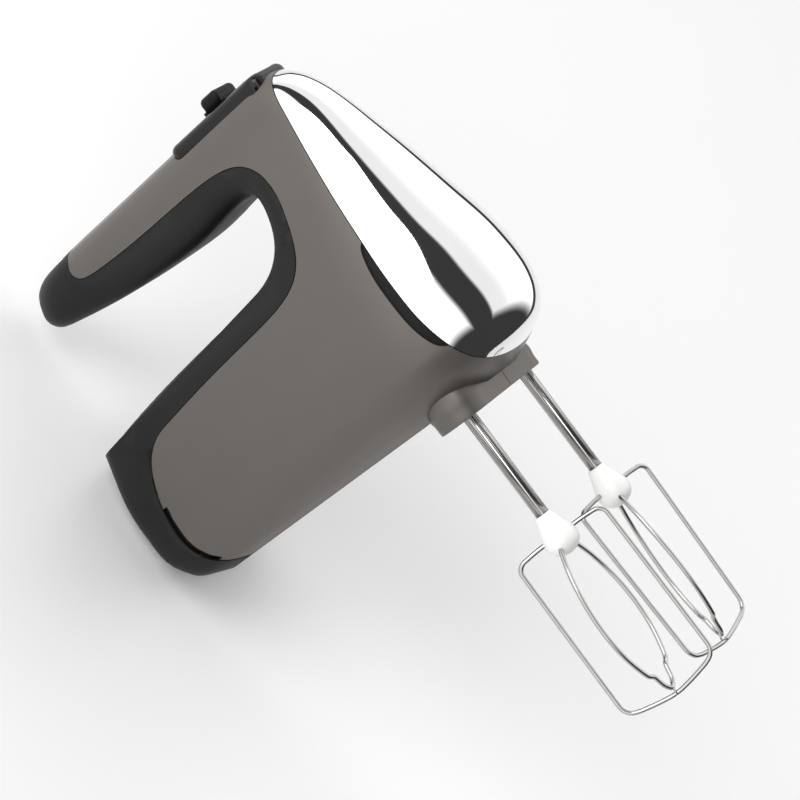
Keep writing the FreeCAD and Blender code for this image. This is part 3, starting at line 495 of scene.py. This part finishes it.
def finish_mesh(name, points, faces, wall, mirror, body, slot, nodes, crease=35.0):
    """Object from millimetre points: given a wall, shaded smooth, and tied to its body."""
    points = np.array(points, float) * MM
    if mirror:
        points = points * (1, -1, 1)
        faces = [tuple(reversed(face)) for face in faces]
    mesh = bpy.data.meshes.new(name)
    mesh.from_pydata([tuple(p) for p in points], [], faces)
    piece = bpy.data.objects.new(name, mesh)
    bpy.context.scene.collection.objects.link(piece)
    if wall:
        thicken = piece.modifiers.new("wall", "SOLIDIFY")
        thicken.thickness = wall * MM
        thicken.offset = -1.0
        bpy.context.view_layer.update()
        solid = bpy.data.meshes.new_from_object(piece.evaluated_get(
            bpy.context.evaluated_depsgraph_get()))
        piece.modifiers.clear()
        piece.data = solid
        mesh = solid
    mesh.shade_smooth()
    mesh.set_sharp_from_angle(angle=math.radians(crease))
    mesh.materials.clear()
    mesh.materials.append(MATERIALS[slot])
    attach(piece, body)
    if nodes:
        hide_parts(*nodes)
    return piece


def panel_opening(points):
    """Positive outside the rounded hole for the control panel in the handle's top."""
    middle = sum(PANEL_Z) / 2
    half = (PANEL_Z[1] - PANEL_Z[0]) / 2 + PANEL_GAP
    across = np.abs(points[:, 1]) - (PANEL_HALF_Y + PANEL_GAP - PANEL_CORNER_R)
    along = np.abs(points[:, 2] - middle) - (half - PANEL_CORNER_R)
    outside = np.hypot(np.maximum(across, 0), np.maximum(along, 0))
    distance = outside + np.minimum(np.maximum(across, along), 0) - PANEL_CORNER_R
    return np.maximum(distance, points[:, 0] - PANEL_DEPTH_X)


def vent_fields():
    """Side-view regions of the vent beside the nose cover and of the one above the heel."""
    front_vent = [(-40, rim_z(-40) + 4), (-38.5, rim_z(-38.5) - 0.8), (-34, rim_z(-34) - 2.7),
                  (-10, rim_z(-10) - 4.2), (6, rim_z(6) - 3.8), (13, rim_z(13) - 1.6),
                  (15.5, rim_z(15.5) + 4)]
    rear_vent = [(-4, 32.7), (7, 30.7), (15, 31.1), (22, 33.9), (28, 38.6)]
    rear_vent_near = [(x, z - 1.5) for x, z in reversed(rear_vent)]
    return [region_field(spline(front_vent, 60), [(15.5, 240), (-40, 240)]),
            region_field(spline([(x, z + 3.0) for x, z in rear_vent], 40), rear_vent_near)]


def side_form():
    """Left half of the outer form, up to the line where the nose cover starts."""
    points, faces = skin(*SIDE_MESH)
    return clip(points, faces, lambda p: rim_z(p[:, 0]) - SEAM - p[:, 2])


def make_side_skins(parting, vents):
    """Side shells with clean seams, and the neck of the collar on each of them."""
    points, faces = side_form()
    points, faces = clip(points, faces, parting)
    points, faces = clip(points, faces, lambda p: p[:, 1] - SEAM / 2)
    points, faces = clip(points, faces, panel_opening)
    for vent in vents:
        points, faces = clip(points, faces, lambda p: -vent(p))
    neck_points, neck_faces = collar_neck()
    for word, mirror in (("left", False), ("right", True)):
        finish_mesh("side_skin_" + word, points, faces, WALL, mirror, "housing", "taupe_plastic",
                    ["side_shell_" + word])
        finish_mesh("collar_neck_" + word, neck_points, neck_faces, COLLAR_WALL, mirror,
                    "housing", "taupe_plastic", [])


def make_vent_liners(parting, vents):
    """Dark floors that close the vents a little below the skin."""
    for number, vent in enumerate(vents):
        points, faces = side_form()
        points, faces = clip(points, faces, lambda p: vent(p) + 0.02)
        points, faces = clip(points, faces, parting)
        points, faces = clip(points, faces, lambda p: p[:, 1] - SEAM / 2)
        points = sunk(points, faces, VENT_DEPTH)
        for word, mirror in (("left", False), ("right", True)):
            finish_mesh(f"vent_liner_{number}_{word}", points, faces, VENT_WALL, mirror,
                        "housing", "matt_black", ["vent_grilles"])


def make_nose_cover():
    """Mirrored cover, relaxed so that its reflections run without kinks."""
    points, faces = skin(*COVER_MESH)
    points, faces = clip(points, faces, lambda p: p[:, 2] - rim_z(p[:, 0]))
    count = len(points)
    whole = np.vstack([points, points * (1, -1, 1)])
    both = faces + [tuple(v + count for v in reversed(face)) for face in faces]
    cover = finish_mesh("nose_mirror", whole, both, 0, False, "housing", "chrome_plate",
                        ["front_cover"], 60.0)
    shape = bmesh.new()
    shape.from_mesh(cover.data)
    bmesh.ops.remove_doubles(shape, verts=shape.verts, dist=0.00002)
    inner = [v for v in shape.verts if not v.is_boundary]
    for _ in range(RELAX_PASSES):
        bmesh.ops.smooth_vert(shape, verts=inner, factor=0.5, use_axis_x=True, use_axis_y=True,
                              use_axis_z=True)
    shape.to_mesh(cover.data)
    shape.free()
    cover.data.shade_smooth()


def make_casing():
    """Side shells, vent floors and nose cover as fine smooth skins."""
    vents = vent_fields()
    parting = region_field(spline(PARTING, 400), PARTING_CLOSE)
    make_side_skins(parting, vents)
    make_vent_liners(parting, vents)
    make_nose_cover()


def sunk(points, faces, depth):
    """The same surface moved inwards along its own normals."""
    mesh = bpy.data.meshes.new("sunk")
    mesh.from_pydata([tuple(p) for p in points], [], faces)
    normals = np.array([tuple(n.vector) for n in mesh.vertex_normals])
    bpy.data.meshes.remove(mesh)
    return points - depth * normals


def collar_neck():
    """Left half of the neck that the beaters come out of, spreading into the underside."""
    rows = [(BELLY_X - 16, -1.5), (BELLY_X - 4, 0.0), (BELLY_X - 1, 0.6), (BELLY_X + 0.4, 0.5),
            (BELLY_X + 1.4, 0.3), (BELLY_X + 2.6, 0.1), (BELLY_X + 4, 0.0), (COLLAR_X - 0.6, 0.0),
            (COLLAR_X - 0.17, -0.16), (COLLAR_X, -0.55)]
    points = []
    steps = 48
    for x, grow in rows:
        radius = COLLAR_HALF_Z + grow
        flat = COLLAR_HALF_Y - COLLAR_HALF_Z
        points += [(x, SEAM / 2, COLLAR_Z - radius)]
        for k in range(steps + 1):
            a = math.pi * k / steps - math.pi / 2
            points.append((x, flat + radius * math.cos(a), COLLAR_Z + radius * math.sin(a)))
        points += [(x, SEAM / 2, COLLAR_Z + radius)]
    return points, grid_faces(len(rows), steps + 3)


# ---- beaters --------------------------------------------------------------------------------
WIRE_R = 0.99
HUB_X = 100.0             # level where the wires leave the hub
HUB_TOP_X = 89.5
LOOP_END_X = 178.59
BINDING_R = 1.55          # ring that binds the loops at the foot
BINDING_WIRE_R = 0.42
LOOP_TOP_R = 21.2
LOOP_R = 21.6
TWIST_PER_MM = 0.12
INNER_TURN = 60.0
KNOT_RISE = 2 * WIRE_R + 0.5


def loop_corners(radius_at, start_x, start_r, end_x, rise, facing, hand):
    """Corner points of one wire loop: out of the hub, down, across the foot and back up."""
    steps = 9
    side_start = start_x + 3.0
    side_end = end_x - rise - 4.5
    stations = [(start_x, start_r), (start_x, (start_r + radius_at(0.0)) / 2),
                (start_x + 0.6, radius_at(0.0) - 2.4)]
    for k in range(steps):
        t = k / (steps - 1)
        stations.append((side_start + (side_end - side_start) * t, radius_at(t)))
    stations.append((end_x - rise - 1.4, radius_at(1.0) - 2.0))
    stations.append((end_x - rise, radius_at(1.0) - 5.2))
    stations.append((end_x - rise * 0.35, radius_at(1.0) * 0.35))
    arms = []
    for sign in (1, -1):
        arm = []
        for x, r in stations:
            angle = math.radians(facing + hand * TWIST_PER_MM * (x - start_x))
            arm.append(Vector((x, sign * r * math.sin(angle), sign * r * math.cos(angle))))
        arms.append(arm)
    return arms[0] + [Vector((end_x, 0, 0))] + arms[1][::-1]


def rounded_path(corners):
    """The corners joined by straight runs and tangent arcs, finely sampled."""
    path = [corners[0]]
    for before, corner, after in zip(corners, corners[1:], corners[2:]):
        into = corner - before
        out = after - corner
        reach = 0.45 * min(into.length, out.length)
        into.normalize()
        out.normalize()
        start = corner - into * reach
        end = corner + out * reach
        for k in range(9):
            t = k / 8
            path.append(start * (1 - t) ** 2 + corner * 2 * t * (1 - t) + end * t * t)
    path.append(corners[-1])
    return path


def ring_faces(rings, sides):
    """Four-sided faces between closed rings of points."""
    faces = []
    for i in range(rings - 1):
        for k in range(sides):
            a = i * sides + k
            b = i * sides + (k + 1) % sides
            faces.append((a, b, b + sides, a + sides))
    return faces


def wire_mesh(path, radius, sides=16):
    """Points and faces of a round wire along a path, closed at its ends."""
    points = []
    normal = (path[1] - path[0]).orthogonal().normalized()
    for i, at in enumerate(path):
        along = (path[min(i + 1, len(path) - 1)] - path[max(i - 1, 0)]).normalized()
        normal = (normal - along * normal.dot(along)).normalized()
        other = along.cross(normal)
        for k in range(sides):
            a = 2 * math.pi * k / sides
            points.append(at + radius * (math.cos(a) * normal + math.sin(a) * other))
    faces = ring_faces(len(path), sides)
    faces.append(tuple(reversed(range(sides))))
    faces.append(tuple(range(len(points) - sides, len(points))))
    return points, faces


def lathe(profile, sides=64):
    """Points and faces of a (x, radius) profile turned about the X axis."""
    points = []
    for x, r in profile:
        for k in range(sides):
            a = 2 * math.pi * k / sides
            points.append((x, r * math.cos(a), r * math.sin(a)))
    return points, ring_faces(len(profile), sides)


def inner_radius(t):
    """Radius of the oval loop: leaves the hub narrow and is widest below the middle."""
    return 6.0 + 12.6 * math.sin(math.pi * min(t * 0.9 + 0.02, 1.0)) ** 0.62


def outer_radius(t):
    """Radius of the square loop from its top bar to its foot."""
    return LOOP_TOP_R + (LOOP_R - LOOP_TOP_R) * t


# (distance below the hub's top, radius) from the sleeve, over the belly, to the rounded tip
HUB_PROFILE = [(0, 3.05), (0, 3.7), (0.2, 4.0), (1.5, 4.35), (2.5, 4.6), (4.5, 5.3),
               (6.5, 6.1), (8, 6.65), (9.5, 7.1), (11, 7.4), (12.5, 7.5), (14, 7.35),
               (15.5, 6.8), (16.9, 5.8), (17.9, 4.5), (18.6, 3.0), (18.95, 1.6), (19, 0.02)]


def make_beater(side, word, facing):
    """Smooth wires, moulded hub and bound foot of one beater."""
    body = "beater_" + word
    place = np.array((0, side * BEATER_Y, BEATER_Z))
    loops = {
        "outer_loop": loop_corners(outer_radius, HUB_X, 2.2, LOOP_END_X, 3.0, facing, side),
        "inner_loop": loop_corners(inner_radius, HUB_X + 3.4, 4.4, LOOP_END_X - KNOT_RISE, 9.0,
                                   facing + INNER_TURN, side),
    }
    for name, corners in loops.items():
        points, faces = wire_mesh(rounded_path(corners), WIRE_R)
        points = np.array([tuple(p) for p in points]) + place
        finish_mesh(name + "_wire_" + word, points, faces, 0, False, body, "steel",
                    [name + "_" + word])
    make_foot_binding(word, body, place, facing + side * TWIST_PER_MM * (LOOP_END_X - HUB_X))

    points, faces = lathe([(HUB_TOP_X + x, r) for x, r in HUB_PROFILE])
    finish_mesh("beater_hub_" + word + "_form", np.array(points) + place, faces, 0, False, body,
                "white_nylon", ["beater_hub_" + word], 50.0)


def make_foot_binding(word, body, place, facing):
    """Thin ring around the crossing of the two loops at a beater's foot."""
    middle = Vector((LOOP_END_X - 1.25, 0, 0))
    turn = math.radians(facing)
    tilt = Matrix.Rotation(math.pi / 2, 3, Vector((0, math.cos(turn), -math.sin(turn))))
    angles = [2 * math.pi * k / 24 for k in range(25)]
    ring = [middle + tilt @ Vector((0, BINDING_R * math.cos(a), BINDING_R * math.sin(a)))
            for a in angles]
    points, faces = wire_mesh(ring, BINDING_WIRE_R, 10)
    points = np.array([tuple(p) for p in points]) + place
    finish_mesh("foot_binding_" + word, points, faces, 0, False, body, "steel", [])


def smooth_copy(node, crease=32.0):
    """Finely shaded stand-in for a CAD node of the same shape."""
    source = NODES[node]
    mesh = source.data.copy()
    mesh.transform(source.matrix_world)
    piece = bpy.data.objects.new(node + "_finish", mesh)
    bpy.context.scene.collection.objects.link(piece)
    shape = bmesh.new()
    shape.from_mesh(mesh)
    bmesh.ops.remove_doubles(shape, verts=shape.verts, dist=0.000002)
    shape.to_mesh(mesh)
    shape.free()
    mesh.shade_smooth()
    mesh.set_sharp_from_angle(angle=math.radians(crease))
    slot = SLOT_OF[node]
    mesh.materials.clear()
    mesh.materials.append(MATERIALS[slot])
    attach(piece, BODY_OF[node])
    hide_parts(node)
    return piece


SLOT_OF = {part["node"]: part["material_slot"] for part in frame["record"]["subparts"]}
BODY_OF = {node: body for body, nodes in frame["record"]["behaviour"]["bodies"].items()
           for node in nodes}

bpy.context.scene.view_settings.view_transform = "Standard"
make_camera()
make_world()
make_floor()
area_light("key", place=(-0.9, -0.9, 1.3), target=(0.0, 0.0, 0.12), size=(0.9, 0.9), power=10.0)
MATERIALS = make_materials()
dress_nodes(MATERIALS)
make_casing()
for side, word, facing in ((-1, "right", 44.0), (1, "left", 74.0)):
    make_beater(side, word, facing)
for node in ("core_shell_left", "core_shell_right", "heel_cap", "heel_trim", "beater_shaft_left",
             "beater_shaft_right", "control_panel", "speed_selector", "eject_button",
             "turbo_button", "collar_plate", "cord_gland"):
    smooth_copy(node)

# smooth stand-ins for both key springs, which press on the plate under the controls
for node, joint, keep in (("eject_spring", "eject_press", 0.24),
                          ("turbo_spring", "turbo_press", 0.55)):
    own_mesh(smooth_copy(node))
